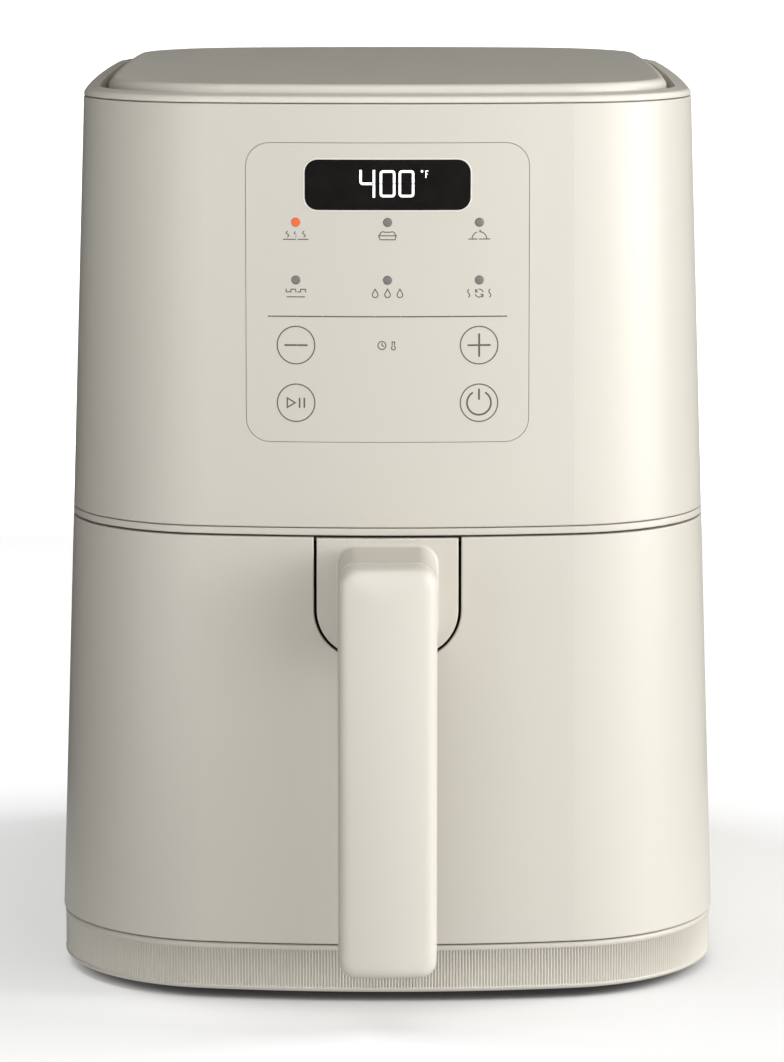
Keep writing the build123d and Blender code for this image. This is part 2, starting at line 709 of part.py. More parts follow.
def make_splatter_guard():
    """Slotted steel guard under the element."""
    guard = rounded_z(HEAT_Y, 178, 213, 59, Z_TRIM - 1.6, Z_TRIM - 0.8)
    cuts = []
    for ring in range(3):
        radius = 22 + 22 * ring
        count = 8 + 6 * ring
        for k in range(count):
            slot = Rot(0, 0, 360 * k / count) * Pos(radius, 0, 0) * Rot(0, 0, 90) * SlotOverall(11, 6)
            cuts.append(Pos(0, HEAT_Y, Z_TRIM - 5) * slot)
    for cut in cuts:
        guard -= extrude(cut, 10)
    return guard


def make_microswitch():
    """Door switch on the deck, with the bore that guides its plunger."""
    body = slab(SWITCH_X - 10, SWITCH_X + 10, SWITCH_Y - 5, SWITCH_Y + 5, Z_TRIM, Z_TRIM + 13)
    return body - rod(SWITCH_X, SWITCH_Y, Z_TRIM - 1, Z_TRIM + 7, PLUNGER_RADIUS + 0.06)


def make_terminal_block():
    """Block behind the liner where the mains lead is clamped."""
    y0 = LINER_REAR + 1
    return slab(GLAND_X - 36, GLAND_X - 14, y0, y0 + 14, GLAND_Z - 6, GLAND_Z + 20)


save("chamber_liner", make_chamber_liner())
save("front_bezel", make_front_bezel())
save("middle_deck", make_middle_deck())
save("drawer_rails", make_drawer_rails())
save("upper_chamber", make_upper_chamber())
save("heat_shield", make_heat_shield())
save("heating_element", make_heating_element())
save("element_clips", make_element_clips())
save("splatter_guard", make_splatter_guard())
save("microswitch", make_microswitch())
save("switch_plunger", rod(SWITCH_X, SWITCH_Y, 157.5, Z_TRIM + 4.5, PLUNGER_RADIUS))
save("thermal_fuse", rod_y(-40, 206.5, HEAT_Y - 70, HEAT_Y - 52, 2.4))
save("temperature_sensor", rod(0, SENSOR_Y, 184, 216, SENSOR_RADIUS))
save("terminal_block", make_terminal_block())


# ---------------------------------------------------------------- motor and fans


def blades(count, inner, outer, z0, z1, thick, sweep_angle):
    """Ring of flat blades, each turned by sweep_angle from radial."""
    flat = Rot(0, 0, sweep_angle) * Box(outer - inner, thick, z1 - z0)
    blade = Pos((inner + outer) / 2, 0, (z0 + z1) / 2) * flat
    return [Pos(0, HEAT_Y, 0) * Rot(0, 0, 360 * k / count) * blade for k in range(count)]


def make_hot_air_fan():
    """Backplate with blades below it and a hub on the shaft."""
    fan = rod(0, HEAT_Y, 198, 199, 56) + rod(0, HEAT_Y, 186, 201, 9)
    fan = join([fan] + blades(14, 20, 54, 186, 198.4, 1.0, 18))
    return fan - rod(0, HEAT_Y, 180, 210, SHAFT_RADIUS)


def make_cooling_fan():
    """Small plastic fan between the heat shield and the motor."""
    fan = rod(0, HEAT_Y, 213, 214.2, 41) + rod(0, HEAT_Y, 213, 220.5, 8)
    fan = join([fan] + blades(12, 14, 40, 213.6, 220.5, 1.4, 22))
    return fan - rod(0, HEAT_Y, 205, 230, SHAFT_RADIUS)


def make_motor_bracket():
    """Plate on four legs over the heat shield."""
    plate = rounded_z(HEAT_Y, 116, 64, 10, MOTOR_Z - 2, MOTOR_Z)
    for x in (-51.0, 51.0):
        for y in (-24.0, 24.0):
            plate += rod(x, HEAT_Y + y, SHIELD_TOP, MOTOR_Z - 1, 4.0)
    plate -= rod(0, HEAT_Y, MOTOR_Z - 5, MOTOR_Z + 5, 10)
    for x, y in MOTOR_SCREWS:
        plate -= rod(x, y, MOTOR_Z - 5, MOTOR_Z + 5, 1.8)
    return plate


def make_motor_end_caps():
    """End caps of the motor, each with a bearing seat."""
    caps = []
    for z in (MOTOR_Z, STATOR_Z[1]):
        cap = tube(0, HEAT_Y, z, z + CAP_THICK, STATOR_RADIUS, BEARING_RADIUS)
        for x, y in MOTOR_SCREWS:
            cap -= rod(x, y, z - 1, z + CAP_THICK + 1, 1.8)
        caps.append(cap)
    return group(caps)


def make_motor_stator():
    """Laminated stack with its bore."""
    stack = tube(0, HEAT_Y, *STATOR_Z, STATOR_RADIUS, STATOR_BORE)
    for x, y in MOTOR_SCREWS:
        stack -= rod(x, y, STATOR_Z[0] - 1, STATOR_Z[1] + 1, 1.8)
    return stack


def make_air_duct():
    """Duct from the cooling fan to the rear vent."""
    y0, half, top, sheet = HEAT_Y + 50, 46.0, 240.0, 1.5
    duct = slab(-half, half, y0, Y_REAR, SHIELD_TOP, top)
    duct -= slab(sheet - half, half - sheet, y0 - 1, Y_REAR + 1, SHIELD_TOP + sheet, top - sheet)
    return duct & block(SHIELD_TOP - 5, top + 5, WALL + 0.1)


def make_motor_bearings():
    """One bearing in each end cap."""
    bore = SHAFT_RADIUS + BEARING_CLEARANCE
    caps = (MOTOR_Z, STATOR_Z[1])
    return group([tube(0, HEAT_Y, z, z + CAP_THICK, BEARING_RADIUS, bore) for z in caps])


def make_motor_screws():
    """Long screws through the caps and the stack."""
    head = STATOR_Z[1] + CAP_THICK + 2
    return group([screw(x, y, head, MOTOR_Z - 2, -1) for x, y in MOTOR_SCREWS])


def make_rotor_core():
    """Laminated rotor on the shaft."""
    z0, z1 = STATOR_Z
    return tube(0, HEAT_Y, z0 + 3, z1 - 3, ROTOR_RADIUS, SHAFT_RADIUS)


def make_fan_nut():
    """Hexagon nut below the hot air fan."""
    nut = extrude(Pos(0, HEAT_Y, 181) * RegularPolygon(6.0, 6), 5)
    return nut - rod(0, HEAT_Y, 180, 190, SHAFT_RADIUS)


save("motor_bracket", make_motor_bracket())
save("motor_end_caps", make_motor_end_caps())
save("motor_stator", make_motor_stator())
save("motor_bearings", make_motor_bearings())
save("motor_screws", make_motor_screws())
save("air_duct", make_air_duct())
save("motor_shaft", rod(0, HEAT_Y, 180.5, 266, SHAFT_RADIUS))
save("rotor_core", make_rotor_core())
save("hot_air_fan", make_hot_air_fan())
save("cooling_fan", make_cooling_fan())
save("fan_nut", make_fan_nut())


# ---------------------------------------------------------------- drawer


def handle_notch(grow):
    """U-shaped outline of the handle plate, open upward, grown by a gap."""
    half = PLATE_HALF_WIDTH + grow
    bottom = PLATE_BOTTOM - grow
    tall = 2 * (Z_DRAWER_TOP + 20 - bottom)
    size = (2 * half, tall, PLATE_CORNER + grow)
    return rounded_y(0, bottom + tall / 2, *size, Y_FRONT - 20, Y_FRONT + 21)


def make_drawer_front():
    """Outer skin of the drawer, wrapping both corners, with the notch for the handle plate."""
    skin = rounded_shell(Z_SEAM + SEAM_GAP, Z_DRAWER_TOP)
    skin &= slab(-200, 200, Y_FRONT - 5, Y_SPLIT, 0, 200)
    skin -= handle_notch(PLATE_GAP)
    return fillet(on_skin(skin, 100, Z_DRAWER_TOP - 1, PLATE_HALF_WIDTH + 5), EDGE_RADIUS)


def make_drawer_inner_panel():
    """Back wall of the drawer front, with the rib that works the switch."""
    back, top = INNER_PANEL_Y + INNER_PANEL_THICK, 157.0
    panel = block(24, top, WALL) & slab(-200, 200, INNER_PANEL_Y, back, 0, 200)
    panel += slab(SWITCH_X - 4, SWITCH_X + 4, INNER_PANEL_Y + 1, SWITCH_Y + 4, top - 4, top)
    for x, z in HANDLE_SCREWS + PAN_SCREWS:
        panel -= rod_y(x, z, INNER_PANEL_Y - 5, INNER_PANEL_Y + 10, 1.8)
    return panel


def neck_form(y0, y1):
    """Slice of the neck between two depths, flush with the sides and the top of the grip."""
    return rounded_y(0, GRIP_TOP - NECK_HEIGHT / 2, GRIP_WIDTH, NECK_HEIGHT, GRIP_CORNER, y0, y1)


def is_plate_rim(point):
    """Whether a point of an edge is on the rim of the handle plate rather than around the neck."""
    return abs(point.X) > 19 or point.Z < PLATE_BOTTOM + 1 or point.Z > Z_PLATE_TOP - 1


def make_handle_plate():
    """U-shaped plate flush with the drawer skin, with the neck ahead and posts behind."""
    plate = block(100, Z_PLATE_TOP) + neck_form(GRIP_BACK, Y_FRONT + 20)
    plate = fillet(on_skin(plate, PLATE_BOTTOM, Z_PLATE_TOP - 1, GRIP_WIDTH), NECK_FILLET)
    plate &= handle_notch(0) + neck_form(GRIP_BACK - 1, Y_FRONT + 20)
    plate -= block(90, 170, WALL)
    rim = [e for e in on_skin(plate, 100, Z_PLATE_TOP + 1, 30) if is_plate_rim(e @ 0.5)]
    plate = fillet(rim, EDGE_RADIUS)
    posts = join([rod_y(x, z, Y_FRONT + 4, INNER_PANEL_Y, 4.0) for x, z in HANDLE_SCREWS])
    plate += posts & block(100, Z_PLATE_TOP, WALL / 2)
    for x, z in HANDLE_SCREWS:
        plate -= rod_y(x, z, GRIP_BACK - 5, Y_FRONT + 40, SCREW_HOLE)
    return plate


def make_grip_outer():
    """Outer form of the grip: crowned face, rounded edges, a brow at the top, flat at the neck."""
    size = (GRIP_WIDTH, GRIP_TOP - GRIP_BOTTOM, GRIP_CORNER)
    grip = rounded_y(0, (GRIP_TOP + GRIP_BOTTOM) / 2, *size, GRIP_FACE - 1, GRIP_BACK)
    grip &= rod(0, GRIP_FACE + GRIP_CROWN, GRIP_BOTTOM - 1, GRIP_TOP + 1, GRIP_CROWN)
    grip = fillet(grip.faces().sort_by(Axis.Y)[0].edges(), GRIP_ROUNDING)
    grip = fillet(grip.faces().sort_by(Axis.Y)[-1].edges(), 3.0)
    brow_z = GRIP_TOP - GRIP_BROW
    limit = slab(-GRIP_WIDTH, GRIP_WIDTH, GRIP_FACE - 1, GRIP_BACK + 1, GRIP_BOTTOM - 1, brow_z)
    limit += rod_x(GRIP_FACE + BROW_RADIUS, brow_z, -GRIP_WIDTH, GRIP_WIDTH, BROW_RADIUS)
    return (grip & limit) + neck_form(GRIP_BACK - 6, GRIP_BACK)


def make_handle():
    """Grip, the cover that closes its back, and the weight-saving core inside."""
    grip = make_grip_outer()
    low, high = GRIP_BOTTOM + 5, GRIP_TOP - NECK_HEIGHT - 4
    middle, tall, wide = (high + low) / 2, high - low, GRIP_WIDTH - 9
    cover_y = GRIP_BACK - COVER_THICK
    mouth = rounded_y(0, middle, wide, tall, 4, cover_y, GRIP_BACK + 5)
    pocket = rounded_y(0, middle, wide - 4, tall - 4, 3, GRIP_FACE + POCKET_WALL, GRIP_BACK)
    body = grip - mouth - pocket
    for x, z in HANDLE_SCREWS:
        body -= rod_y(x, z, GRIP_FACE + 5, GRIP_BACK + 1, 1.25)
    cover = rounded_y(0, middle, wide - 0.2, tall - 0.2, 3.9, cover_y, GRIP_BACK)
    cover = fillet(cover.faces().sort_by(Axis.Y)[-1].edges(), 0.6)
    core = rounded_y(0, middle, 12, tall - 10, 3, GRIP_FACE + 6.5, GRIP_FACE + 10.5)
    return body, cover, core


def pan_form(offset, z0, z1):
    """Drafted rounded box of the pan, moved inward by offset."""
    def section(z):
        edge = offset + (PAN_RIM - z) * PAN_DRAFT
        size = (PAN_WIDTH - 2 * edge, PAN_DEPTH - 2 * edge, PAN_CORNER - edge)
        return Pos(0, PAN_Y, z) * RectangleRounded(*size)

    return loft([section(z0), section(z1)], ruled=True)


def make_pan():
    """Pressed steel pan with a rim flange that runs on the rails."""
    flange = rounded_z(PAN_Y, 200, 243, 50, PAN_RIM - 0.01, PAN_RIM + PAN_SHEET)
    flange &= slab(-200, 200, INNER_PANEL_Y + INNER_PANEL_THICK + 0.2, Y_REAR, 0, 200)
    body = pan_form(0, PAN_FLOOR, PAN_RIM) + flange
    inner = pan_form(PAN_SHEET, PAN_FLOOR + PAN_SHEET, PAN_RIM + 5)
    pan = body - inner
    for x, z in PAN_SCREWS:
        pan -= rod_y(x, z, Y_FRONT + 20, Y_FRONT + 60, 1.8)
    return pan


def make_pan_bracket():
    """Packing piece between the inner panel and the front wall of the pan."""
    y0 = INNER_PANEL_Y + INNER_PANEL_THICK
    bracket = rounded_y(0, 93, 96, 64, 6, y0, Y_FRONT + 45) - pan_form(0, PAN_FLOOR, PAN_RIM)
    for x, z in PAN_SCREWS:
        bracket -= rod_y(x, z, Y_FRONT + 20, Y_FRONT + 60, 1.8)
    return bracket


def make_pan_screws():
    """Screws from inside the pan, through the packing piece, into the inner panel."""
    screws = []
    for x, z in PAN_SCREWS:
        wall = PAN_Y - PAN_DEPTH / 2 + (PAN_RIM - z) * PAN_DRAFT + PAN_SHEET
        screws.append(screw_y(x, z, wall + 2.2, INNER_PANEL_Y - 4, 1.7))
    return screws


def make_crisper_tray():
    """Perforated tray with a turned-down edge and four legs."""
    wide, deep = 2 * TRAY_HALF_X, 2 * TRAY_HALF_Y
    inner = (wide - 2 * TRAY_SHEET, deep - 2 * TRAY_SHEET, TRAY_CORNER - TRAY_SHEET)
    skirt = TRAY_Z - TRAY_SKIRT
    tray = rounded_z(PAN_Y, wide, deep, TRAY_CORNER, skirt, TRAY_Z + TRAY_SHEET)
    tray = fillet(tray.faces().sort_by(Axis.Z)[-1].edges(), 1.2)
    tray -= rounded_z(PAN_Y, *inner, skirt - 1, TRAY_Z)
    for x in (-TRAY_LEG_X, TRAY_LEG_X):
        for y in (-TRAY_LEG_Y, TRAY_LEG_Y):
            tray += rod(x, PAN_Y + y, PAN_FLOOR + PAN_SHEET + 0.3, TRAY_Z + 0.5, 4.0)
    holes = []
    for i in range(-4, 5):
        for j in range(-6, 7):
            x, y = i * HOLE_PITCH + (j % 2) * HOLE_PITCH / 2, j * HOLE_PITCH
            near_leg = abs(abs(x) - TRAY_LEG_X) < 10 and abs(abs(y) - TRAY_LEG_Y) < 10
            if abs(x) < 72 and not near_leg and hypot(x, y) > 16:
                holes.append(Pos(x, PAN_Y + y, TRAY_Z - 2) * Circle(HOLE_RADIUS))
    tray -= extrude(Sketch() + holes, 8)
    return tray - rod(0, PAN_Y, TRAY_Z - 5, TRAY_Z + 5, FINGER_HOLE)


def make_tray_bumpers():
    """Silicone bumpers on the edge of the tray."""
    pads = []
    for side in (-1, 1):
        x = sorted((side * TRAY_HALF_X, side * (TRAY_HALF_X + 2.6)))
        y = sorted((side * TRAY_HALF_Y, side * (TRAY_HALF_Y + 2.6)))
        for shift in (-40, 40):
            pads.append(slab(*x, PAN_Y + shift - 6, PAN_Y + shift + 6, TRAY_Z - 5, TRAY_Z - 0.5))
        pads.append(slab(-6, 6, PAN_Y + y[0], PAN_Y + y[1], TRAY_Z - 5, TRAY_Z - 0.5))
    return group(pads)


HANDLE_BODY, HANDLE_COVER, HANDLE_CORE = make_handle()
PANEL_BACK = INNER_PANEL_Y + INNER_PANEL_THICK

save("drawer_front", make_drawer_front())
save("drawer_inner_panel", make_drawer_inner_panel())
save("handle_plate", make_handle_plate())
save("handle_grip", HANDLE_BODY)
save("handle_back_cover", HANDLE_COVER)
save("handle_core", HANDLE_CORE)
save("handle_screws", group([screw_y(x, z, PANEL_BACK + 2, GRIP_FACE + 6, 1.2) for x, z in HANDLE_SCREWS]))
save("pan", make_pan())
save("pan_bracket", make_pan_bracket())
save("pan_screws", group(make_pan_screws()))
save("crisper_tray", make_crisper_tray())
save("tray_bumpers", make_tray_bumpers())
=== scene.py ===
import json
import math

import bmesh
import bpy
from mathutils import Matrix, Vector


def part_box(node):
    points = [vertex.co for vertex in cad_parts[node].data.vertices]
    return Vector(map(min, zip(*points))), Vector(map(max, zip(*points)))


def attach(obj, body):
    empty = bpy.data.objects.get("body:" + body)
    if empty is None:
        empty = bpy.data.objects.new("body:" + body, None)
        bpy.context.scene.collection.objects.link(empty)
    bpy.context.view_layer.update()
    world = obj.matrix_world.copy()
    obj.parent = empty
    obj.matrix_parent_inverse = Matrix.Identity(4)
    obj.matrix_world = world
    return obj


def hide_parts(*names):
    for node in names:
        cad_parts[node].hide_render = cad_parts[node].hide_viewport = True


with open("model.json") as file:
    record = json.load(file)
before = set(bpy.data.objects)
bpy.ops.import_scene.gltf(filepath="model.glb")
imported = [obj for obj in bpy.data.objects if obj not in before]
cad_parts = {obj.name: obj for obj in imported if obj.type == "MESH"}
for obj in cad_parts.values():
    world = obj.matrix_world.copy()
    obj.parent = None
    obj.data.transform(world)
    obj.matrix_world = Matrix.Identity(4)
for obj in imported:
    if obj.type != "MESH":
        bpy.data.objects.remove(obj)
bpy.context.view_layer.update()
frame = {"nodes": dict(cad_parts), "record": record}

NODES = frame["nodes"]
MM = 0.001

# ---------------------------------------------------------------- plan of the body, in metres

HALF_WIDTH = 0.1180
DEPTH = 0.320
FRONT_RADIUS = 0.390
CORNER_RADIUS = 0.062
SIDE_RADIUS = 3.100
LEAN = math.tan(math.radians(2.0))
Z_SEAM = 0.020
Y_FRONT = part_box("drawer_front")[0].y
MID_Y = Y_FRONT + DEPTH / 2


def front_y(x, z, out=0.0):
    """Y of the curved front at a point, moved outward by out."""
    radius = FRONT_RADIUS - (z - Z_SEAM) * LEAN + out
    return Y_FRONT + FRONT_RADIUS - math.sqrt(radius**2 - x**2)


def circle_crossing(c0, r0, c1, r1, side):
    """Where two circles meet, on the left (1) or right (-1) of the line between their centres."""
    dx, dy = c1[0] - c0[0], c1[1] - c0[1]
    gap = math.hypot(dx, dy)
    along = (r0**2 - r1**2 + gap**2) / (2 * gap)
    across = side * math.sqrt(r0**2 - along**2)
    return c0[0] + (along * dx - across * dy) / gap, c0[1] + (along * dy + across * dx) / gap


def plan_arcs():
    """Arcs of the plan outline, anticlockwise from the front: centre, radius, first and last angle."""
    front = (0.0, Y_FRONT + FRONT_RADIUS)
    side = (HALF_WIDTH - SIDE_RADIUS, MID_Y)
    corner = circle_crossing(front, FRONT_RADIUS - CORNER_RADIUS, side, SIDE_RADIUS - CORNER_RADIUS, -1)
    if corner[1] > MID_Y:
        corner = circle_crossing(front, FRONT_RADIUS - CORNER_RADIUS, side, SIDE_RADIUS - CORNER_RADIUS, 1)
    turn = math.atan2(corner[1] - front[1], corner[0] - front[0])
    rise = math.atan2(corner[1] - side[1], corner[0] - side[0])
    quarter = [
        (front, FRONT_RADIUS, -math.pi / 2, turn),
        (corner, CORNER_RADIUS, turn, rise),
        (side, SIDE_RADIUS, rise, 0.0),
    ]
    half = list(quarter)
    for (cx, cy), radius, a0, a1 in reversed(quarter):
        half.append(((cx, 2 * MID_Y - cy), radius, -a1, -a0))
    whole = list(half)
    for (cx, cy), radius, a0, a1 in reversed(half):
        whole.append(((-cx, cy), radius, math.pi - a1, math.pi - a0))
    return whole


# ---------------------------------------------------------------- camera, at the photograph's viewing angle

CAMERA_DISTANCE = 1.47964  # from the front centre of the bottom seam
CAMERA_HEIGHT = 0.39718
CAMERA_PITCH = 8.9055  # degrees below the horizon
CAMERA_LENS = 148.88
CAMERA_SHIFT = 0.0042  # the object stands a little left of the middle of the picture


def make_camera():
    data = bpy.data.cameras.new("camera")
    data.lens = CAMERA_LENS
    data.sensor_width = 36.0
    data.shift_x = CAMERA_SHIFT
    data.clip_end = 50.0
    camera = bpy.data.objects.new("camera", data)
    camera.location = (0.0, Y_FRONT - CAMERA_DISTANCE, CAMERA_HEIGHT)
    camera.rotation_euler = (math.radians(90.0 - CAMERA_PITCH), 0.0, 0.0)
    bpy.context.scene.collection.objects.link(camera)
    bpy.context.scene.camera = camera


# ---------------------------------------------------------------- stage and light


def area_light(name, size, place, target, power, receivers):
    """Rectangular softbox that points from place to target."""
    data = bpy.data.lights.new(name, "AREA")
    data.shape = "RECTANGLE"
    data.size, data.size_y = size
    data.energy = power
    light = bpy.data.objects.new(name, data)
    light.location = place
    direction = Vector(target) - Vector(place)
    light.rotation_euler = direction.to_track_quat("-Z", "Y").to_euler()
    light.visible_camera = False
    bpy.context.scene.collection.objects.link(light)
    light.light_linking.receiver_collection = receivers
    return light


def softbox(name, azimuth, elevation, power, receivers, distance=2.4, side=1.1):
    """Square softbox aimed at the middle of the object; azimuth in degrees from the front to the right."""
    turn, rise = math.radians(azimuth), math.radians(elevation)
    middle = Vector((0.0, 0.0, 0.17))
    arm = Vector((math.cos(rise) * math.sin(turn), -math.cos(rise) * math.cos(turn), math.sin(rise)))
    return area_light(name, (side, side), middle + arm * distance, middle, power, receivers)


def make_stage():
    """Seamless pale floor that rises behind the object; its own soft lights are set in make_lights."""
    width, near, far, radius, tall = 8.0, -4.0, 3.0, 1.2, 4.0
    profile = [(near, 0.0)]
    for k in range(17):
        a = math.pi / 2 * k / 16
        profile.append((far - radius + radius * math.sin(a), radius - radius * math.cos(a)))
    profile.append((far, tall))
    mesh = bpy.data.meshes.new("floor")
    verts, faces = [], []
    for y, z in profile:
        verts += [(-width / 2, y, z), (width / 2, y, z)]
    for k in range(len(profile) - 1):
        faces.append((2 * k, 2 * k + 1, 2 * k + 3, 2 * k + 2))
    mesh.from_pydata(verts, [], faces)
    mesh.polygons.foreach_set("use_smooth", [True] * len(mesh.polygons))
    floor = bpy.data.objects.new("floor", mesh)
    bpy.context.scene.collection.objects.link(floor)
    floor.data.materials.append(floor_paint())
    floor.visible_glossy = False
    floor.visible_diffuse = False
    return floor


def collection_of(name, objects):
    group = bpy.data.collections.new(name)
    for o in objects:
        group.objects.link(o)
    return group


def make_lights(floor):
    """Softboxes and floor-level cards on the object, and separate soft lights on the floor.

    lid_edge reaches only the lid and its crown ring, grip_face only the grip. rear leaves no reflection.
    """
    product = collection_of("product", [o for o in bpy.data.objects if o.type == "MESH" and o is not floor])
    softbox("side_right", 80, 8, 28, product)
    softbox("low_right", 60, 8, 20, product)
    softbox("high_right", 60, 38, 9, product)
    softbox("key", 30, 8, 11, product)
    softbox("front", 0, 22, 7.5, product)
    softbox("fill", -30, 8, 9, product)
    softbox("low_left", -60, 8, 2.5, product)
    softbox("rear_right", 120, 38, 8, product)
    softbox("rear", 180, 8, 16, product).visible_glossy = False
    softbox("crown", 0, 72, 9.5, product, side=0.6)
    area_light("bounce", (2.6, 1.4), (0.2, -1.1, 0.001), (0.2, -1.1, 1.0), 9, product)
    area_light("bounce_near", (0.52, 0.5), (0.0, -0.05, 0.001), (0.0, -0.05, 1.0), 0.36, product)
    lid = collection_of("lid_parts", [NODES["top_lid"], NODES["crown_ring"]])
    softbox("lid_edge", 10, 36, 9, lid)
    grip = collection_of("grip_parts", [NODES["handle_grip"]])
    softbox("grip_face", 15, 8, 3, grip)
    area_light("bounce_left", (1.0, 1.2), (-0.9, -0.95, 0.001), (-0.9, -0.95, 1.0), 6, product)
    stage = collection_of("stage", [floor])
    softbox("floor_top", 0, 85, 35, stage, side=2.4)
    softbox("floor_rear_left", -120, 45, 18, stage)
    softbox("floor_rear_right", 120, 45, 5, stage)
    area_light("floor_right", (1.6, 1.6), (2.2, 0.2, 1.0), (0.0, 0.1, 0.0), 62, stage)
    area_light("floor_left", (1.6, 1.6), (-2.2, -0.2, 1.0), (0.0, 0.0, 0.0), 33, stage)
    area_light("backdrop", (5.0, 2.0), (0.0, 0.9, 1.2), (0.0, 3.0, 1.2), 90, stage)
    world = bpy.data.worlds.new("studio")
    world.use_nodes = True
    background = world.node_tree.nodes["Background"]
    background.inputs["Color"].default_value = (1.0, 1.0, 1.0, 1.0)
    background.inputs["Strength"].default_value = 0.0
    bpy.context.scene.world = world


# ---------------------------------------------------------------- materials


def new_material(name):
    material = bpy.data.materials.new(name)
    material.use_nodes = True
    tree = material.node_tree
    return material, tree, tree.nodes["Principled BSDF"]


def coordinates(tree, scale):
    """Object-space position times a scale, which is the same as the row frame."""
    source = tree.nodes.new("ShaderNodeTexCoord")
    mapping = tree.nodes.new("ShaderNodeMapping")
    mapping.inputs["Scale"].default_value = scale
    tree.links.new(source.outputs["Object"], mapping.inputs["Vector"])
    return mapping.outputs["Vector"]


def noise(tree, scale, detail=3.0, roughness=0.55, stretch=(1.0, 1.0, 1.0)):
    node = tree.nodes.new("ShaderNodeTexNoise")
    node.inputs["Scale"].default_value = scale
    node.inputs["Detail"].default_value = detail
    node.inputs["Roughness"].default_value = roughness
    tree.links.new(coordinates(tree, stretch), node.inputs["Vector"])
    return node.outputs["Fac"]


def ramp(tree, value, low, high, start=0.0, end=1.0):
    """Maps a value from start..end to low..high, for a number or a colour."""
    if isinstance(low, (int, float)):
        node = tree.nodes.new("ShaderNodeMapRange")
        node.inputs["From Min"].default_value = start
        node.inputs["From Max"].default_value = end
        node.inputs["To Min"].default_value = low
        node.inputs["To Max"].default_value = high
        tree.links.new(value, node.inputs["Value"])
        return node.outputs["Result"]
    node = tree.nodes.new("ShaderNodeValToRGB")
    node.color_ramp.elements[0].position = start
    node.color_ramp.elements[0].color = (*low, 1.0)
    node.color_ramp.elements[1].position = end
    node.color_ramp.elements[1].color = (*high, 1.0)
    tree.links.new(value, node.inputs["Fac"])
    return node.outputs["Color"]


def bump(tree, shader, height, strength, distance):
    node = tree.nodes.new("ShaderNodeBump")
    node.inputs["Strength"].default_value = strength
    node.inputs["Distance"].default_value = distance
    tree.links.new(height, node.inputs["Height"])
    tree.links.new(node.outputs["Normal"], shader.inputs["Normal"])


def shade(colour, factor):
    return tuple(min(1.0, c * factor) for c in colour)


def moulded(name, colour, rough=0.36, grain=2600.0, depth=0.00003, spread=0.012, coat=0.0):
    """Moulded plastic: faint colour drift, uneven gloss and a fine spark-eroded grain."""
    material, tree, shader = new_material(name)
    drift = noise(tree, 7.0, 2.0)
    tree.links.new(
        ramp(tree, drift, shade(colour, 1 - spread), shade(colour, 1 + spread), 0.3, 0.7),
        shader.inputs["Base Color"],
    )
    patch = noise(tree, 38.0, 4.0, 0.6)
    tree.links.new(ramp(tree, patch, rough - 0.03, rough + 0.03, 0.3, 0.7), shader.inputs["Roughness"])
    bump(tree, shader, noise(tree, grain, 2.0, 0.6), 0.35, depth)
    shader.inputs["Coat Weight"].default_value = coat
    return material


def metal(name, colour, rough=0.3, stretch=(1.0, 1.0, 24.0), scale=90.0, spread=0.06):
    """Rolled or turned metal with fine directional marks."""
    material, tree, shader = new_material(name)
    marks = noise(tree, scale, 5.0, 0.65, stretch)
    tree.links.new(
        ramp(tree, marks, shade(colour, 1 - spread), shade(colour, 1 + spread), 0.3, 0.7),
        shader.inputs["Base Color"],
    )
    tree.links.new(ramp(tree, marks, rough - 0.07, rough + 0.09, 0.3, 0.7), shader.inputs["Roughness"])
    bump(tree, shader, marks, 0.25, 0.00004)
    shader.inputs["Metallic"].default_value = 1.0
    return material


def speckled(name, colour, fleck, rough=0.38):
    """Non-stick coating: dark with fine pale flecks and a slight orange peel."""
    material, tree, shader = new_material(name)
    cells = tree.nodes.new("ShaderNodeTexVoronoi")
    cells.inputs["Scale"].default_value = 520.0
    tree.links.new(coordinates(tree, (1.0, 1.0, 1.0)), cells.inputs["Vector"])
    flecks = ramp(tree, cells.outputs["Distance"], fleck, colour, 0.08, 0.16)
    tree.links.new(flecks, shader.inputs["Base Color"])
    peel = noise(tree, 300.0, 3.0)
    tree.links.new(ramp(tree, peel, rough - 0.05, rough + 0.08), shader.inputs["Roughness"])
    bump(tree, shader, peel, 0.3, 0.00006)
    return material


def rubber(name, colour, rough=0.75):
    material, tree, shader = new_material(name)
    dust = noise(tree, 140.0, 5.0, 0.7)
    dusted = ramp(tree, dust, shade(colour, 0.8), shade(colour, 1.35), 0.35, 0.75)
    tree.links.new(dusted, shader.inputs["Base Color"])
    tree.links.new(ramp(tree, dust, rough - 0.08, rough + 0.1), shader.inputs["Roughness"])
    bump(tree, shader, noise(tree, 1500.0, 2.0), 0.4, 0.00004)
    return material


def glossy_black(name, colour):
    """Polished tinted window with faint swirl marks in its gloss."""
    material, tree, shader = new_material(name)
    swirl = noise(tree, 160.0, 6.0, 0.7)
    clouded = ramp(tree, swirl, shade(colour, 0.85), shade(colour, 1.2), 0.35, 0.7)
    tree.links.new(clouded, shader.inputs["Base Color"])
    tree.links.new(ramp(tree, swirl, 0.10, 0.16, 0.3, 0.8), shader.inputs["Roughness"])
    shader.inputs["Coat Weight"].default_value = 0.3
    return material


def glowing(name, colour, strength, edge=0.85):
    """Lit plastic with a slightly uneven glow."""
    material, tree, shader = new_material(name)
    uneven = noise(tree, 900.0, 2.0)
    tint = ramp(tree, uneven, shade(colour, edge), colour, 0.3, 0.6)
    tree.links.new(tint, shader.inputs["Base Color"])
    tree.links.new(tint, shader.inputs["Emission Color"])
    shader.inputs["Emission Strength"].default_value = strength
    shader.inputs["Roughness"].default_value = 0.35
    return material


